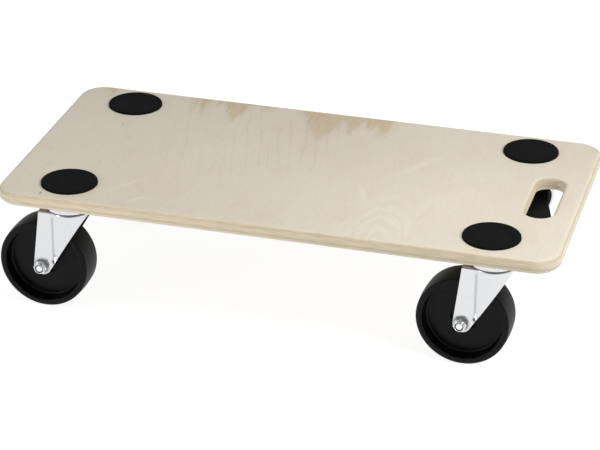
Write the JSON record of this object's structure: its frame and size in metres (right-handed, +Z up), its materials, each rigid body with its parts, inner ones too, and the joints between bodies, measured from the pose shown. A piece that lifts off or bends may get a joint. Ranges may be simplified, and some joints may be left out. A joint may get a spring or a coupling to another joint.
{
  "type": "furniture dolly",
  "caption": "Low rectangular plywood transport deck with rounded corners, a hand hole at one end, rubber anti-slip pads on top and swivel casters with solid plastic wheels below.",
  "frame": {"origin": "centre of the deck's flat load face, in the plane of the wood's upper surface; the floor lies 143 mm below", "axes": "+Z up, square to the load face; +X along the deck's length towards the hand hole; +Y across the deck"},
  "size_m": [0.6055, 0.334, 0.1455],
  "materials": {
    "plywood": "lightly sanded birch plywood, raw satin, ply lines on the edges",
    "pad_rubber": "matte moulded rubber with a fine grain",
    "zinc_sheet": "satin zinc-plated pressed sheet steel",
    "zinc_fastener": "bright zinc-plated turned steel",
    "ball_steel": "polished bearing steel",
    "wheel_plastic": "black moulded plastic, satin, with a scuffed tread"
  },
  "bodies": {
    "deck": {"deck": "plywood", "pad_fl": "pad_rubber", "pad_fr": "pad_rubber", "pad_rl": "pad_rubber", "pad_rr": "pad_rubber", "king_bolt_fl": "zinc_fastener", "king_bolt_fr": "zinc_fastener", "king_bolt_rl": "zinc_fastener", "king_bolt_rr": "zinc_fastener", "bearing_cup_fl": "zinc_sheet", "bearing_cup_fr": "zinc_sheet", "bearing_cup_rl": "zinc_sheet", "bearing_cup_rr": "zinc_sheet", "tube_rivet_fl": "zinc_sheet", "tube_rivet_fr": "zinc_sheet", "tube_rivet_rl": "zinc_sheet", "tube_rivet_rr": "zinc_sheet", "bearing_balls_fl": "ball_steel", "bearing_balls_fr": "ball_steel", "bearing_balls_rl": "ball_steel", "bearing_balls_rr": "ball_steel", "lower_race_fl": "zinc_sheet", "lower_race_fr": "zinc_sheet", "lower_race_rl": "zinc_sheet", "lower_race_rr": "zinc_sheet", "king_nut_fl": "zinc_fastener", "king_nut_fr": "zinc_fastener", "king_nut_rl": "zinc_fastener", "king_nut_rr": "zinc_fastener"},
    "swivel_fl": {"fork_fl": "zinc_sheet", "axle_bolt_fl": "zinc_fastener", "axle_nut_fl": "zinc_fastener", "axle_sleeve_fl": "zinc_sheet"},
    "swivel_fr": {"fork_fr": "zinc_sheet", "axle_bolt_fr": "zinc_fastener", "axle_nut_fr": "zinc_fastener", "axle_sleeve_fr": "zinc_sheet"},
    "swivel_rl": {"fork_rl": "zinc_sheet", "axle_bolt_rl": "zinc_fastener", "axle_nut_rl": "zinc_fastener", "axle_sleeve_rl": "zinc_sheet"},
    "swivel_rr": {"fork_rr": "zinc_sheet", "axle_bolt_rr": "zinc_fastener", "axle_nut_rr": "zinc_fastener", "axle_sleeve_rr": "zinc_sheet"},
    "wheel_fl": {"wheel_fl": "wheel_plastic"},
    "wheel_fr": {"wheel_fr": "wheel_plastic"},
    "wheel_rl": {"wheel_rl": "wheel_plastic"},
    "wheel_rr": {"wheel_rr": "wheel_plastic"}
  },
  "joints": [
    {"name": "swivel_fl", "type": "hinge", "parent": "deck", "child": "swivel_fl", "pos_m": [-0.2285, -0.107, -0.015], "axis": [0, 0, 1], "continuous": true},
    {"name": "swivel_fr", "type": "hinge", "parent": "deck", "child": "swivel_fr", "pos_m": [0.2285, -0.107, -0.015], "axis": [0, 0, 1], "continuous": true},
    {"name": "swivel_rl", "type": "hinge", "parent": "deck", "child": "swivel_rl", "pos_m": [-0.2285, 0.107, -0.015], "axis": [0, 0, 1], "continuous": true},
    {"name": "swivel_rr", "type": "hinge", "parent": "deck", "child": "swivel_rr", "pos_m": [0.2285, 0.107, -0.015], "axis": [0, 0, 1], "continuous": true},
    {"name": "wheel_spin_fl", "type": "hinge", "parent": "swivel_fl", "child": "wheel_fl", "pos_m": [-0.2555, -0.10653, -0.093], "axis": [0.0175, 0.9998, 0], "continuous": true},
    {"name": "wheel_spin_fr", "type": "hinge", "parent": "swivel_fr", "child": "wheel_fr", "pos_m": [0.20152, -0.10606, -0.093], "axis": [0.0349, 0.9994, 0], "continuous": true},
    {"name": "wheel_spin_rl", "type": "hinge", "parent": "swivel_rl", "child": "wheel_rl", "pos_m": [-0.2285, 0.134, -0.093], "axis": [1, 0, 0], "continuous": true},
    {"name": "wheel_spin_rr", "type": "hinge", "parent": "swivel_rr", "child": "wheel_rr", "pos_m": [0.21188, 0.12828, -0.093], "axis": [0.788, 0.6157, 0], "continuous": true}
  ]
}
